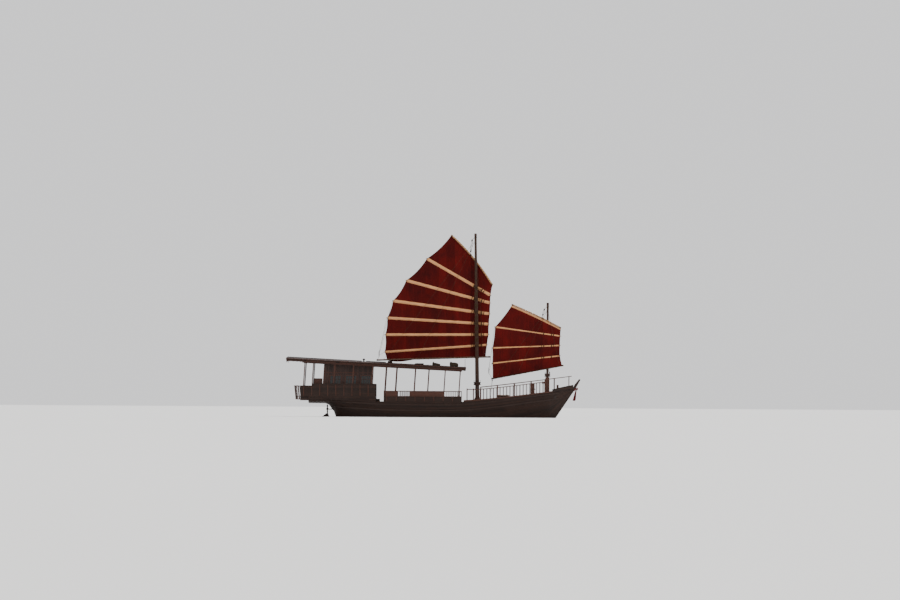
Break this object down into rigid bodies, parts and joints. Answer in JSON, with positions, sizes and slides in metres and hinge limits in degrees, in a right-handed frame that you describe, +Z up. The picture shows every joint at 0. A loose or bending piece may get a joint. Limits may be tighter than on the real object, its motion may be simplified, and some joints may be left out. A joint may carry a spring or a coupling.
{
  "type": "chinese junk ship",
  "caption": "Two-masted wooden junk under battened sails, with a decked hull, a deckhouse aft, a long canopy, railed decks and a rudder.",
  "frame": {"origin": "amidships on the centreline at the waterline", "axes": "+X to the bow, +Y to port, +Z up"},
  "size_m": [22.67, 5.16, 15.5592],
  "materials": {
    "hull_wood": "dark varnish",
    "deck_wood": "worn planks",
    "trim_wood": "varnish",
    "canopy_wood": "oiled",
    "mast_wood": "varnish",
    "batten_cloth": "cream strips",
    "sail_cloth": "dark red canvas",
    "ribbon_cloth": "dark red cloth",
    "mat_canvas": "folded canvas",
    "window_glass": "clear",
    "bronze": "satin"
  },
  "bodies": {
    "ship": {"hull": "hull_wood", "keel_and_stem": "hull_wood", "well_deck": "deck_wood", "poop_deck": "deck_wood", "foredeck": "deck_wood", "bulwark_poop_port": "hull_wood", "bulwark_poop_starboard": "hull_wood", "bulwark_well_port": "hull_wood", "bulwark_well_starboard": "hull_wood", "bulwark_bow_port": "hull_wood", "bulwark_bow_starboard": "hull_wood", "stern_gallery": "trim_wood", "canopy_roof": "canopy_wood", "canopy_frame_port": "trim_wood", "canopy_frame_starboard": "trim_wood", "rail_well_port": "trim_wood", "rail_well_starboard": "trim_wood", "rail_fore_port": "trim_wood", "rail_fore_starboard": "trim_wood", "house_side_port": "hull_wood", "house_side_starboard": "hull_wood", "house_front": "hull_wood", "house_back": "hull_wood", "window_glass_port": "window_glass", "window_glass_starboard": "window_glass", "window_glass_front": "window_glass", "helm_stand": "trim_wood", "bench_port": "deck_wood", "bench_starboard": "deck_wood", "engine_casing": "trim_wood", "windlass_bitts": "trim_wood", "bow_bitt": "trim_wood", "roof_bundle_aft": "mat_canvas", "roof_bundle_fore": "mat_canvas", "main_mast": "mast_wood", "fore_mast": "mast_wood", "mast_cheeks": "trim_wood", "bow_ribbon": "ribbon_cloth"},
    "main_sail": {"main_sail_cloth": "sail_cloth", "main_batten_1": "batten_cloth", "main_batten_2": "batten_cloth", "main_batten_3": "batten_cloth", "main_batten_4": "batten_cloth", "main_batten_5": "batten_cloth", "main_batten_6": "batten_cloth", "main_yard": "mast_wood", "main_boom": "mast_wood"},
    "fore_sail": {"fore_sail_cloth": "sail_cloth", "fore_batten_1": "batten_cloth", "fore_batten_2": "batten_cloth", "fore_batten_3": "batten_cloth", "fore_yard": "mast_wood", "fore_boom": "mast_wood"},
    "rudder": {"rudder": "hull_wood"},
    "propeller": {"propeller": "bronze"},
    "helm_wheel": {"helm_wheel": "trim_wood"},
    "door_front": {"door_front": "trim_wood"},
    "door_back": {"door_back": "trim_wood"},
    "windlass_barrel": {"windlass_barrel": "mast_wood"},
    "hatch_lid": {"hatch_lid": "trim_wood"}
  },
  "joints": [
    {"name": "main_sail_swing", "type": "hinge", "parent": "ship", "child": "main_sail", "pos_m": [3.055, 0, 1.356], "axis": [-0.0166, 0, 0.9999], "range_deg": [-75, 75]},
    {"name": "fore_sail_swing", "type": "hinge", "parent": "ship", "child": "fore_sail", "pos_m": [8.448, 0, 1.98], "axis": [0, 0, 1], "range_deg": [-75, 75]},
    {"name": "rudder_swing", "type": "hinge", "parent": "ship", "child": "rudder", "pos_m": [-8.51, 0, 0], "axis": [0, 0, 1], "range_deg": [-35, 35]},
    {"name": "helm_turn", "type": "hinge", "parent": "ship", "child": "helm_wheel", "pos_m": [-5.56, 0.62, 2.48], "axis": [1, 0, 0], "range_deg": [-420, 420]},
    {"name": "propeller_spin", "type": "hinge", "parent": "ship", "child": "propeller", "pos_m": [-7.99, 0, -0.74], "axis": [1, 0, 0], "continuous": true},
    {"name": "door_front_swing", "type": "hinge", "parent": "ship", "child": "door_front", "pos_m": [-5.098, -1.147, 1.58], "axis": [-0.061, 0, -0.9981], "range_deg": [0, 110]},
    {"name": "door_back_swing", "type": "hinge", "parent": "ship", "child": "door_back", "pos_m": [-8.912, 0.403, 1.58], "axis": [0.061, 0, 0.9981], "range_deg": [0, 110]},
    {"name": "windlass_turn", "type": "hinge", "parent": "ship", "child": "windlass_barrel", "pos_m": [7.35, 0, 2.205], "axis": [0, 1, 0], "continuous": true},
    {"name": "hatch_lid_lift", "type": "hinge", "parent": "ship", "child": "hatch_lid", "pos_m": [4.58, 0, 1.69], "axis": [0, -1, 0], "range_deg": [0, 100]}
  ],
  "couplings": [
    {"joint": "helm_turn", "follows": "rudder_swing", "ratio": 12}
  ]
}
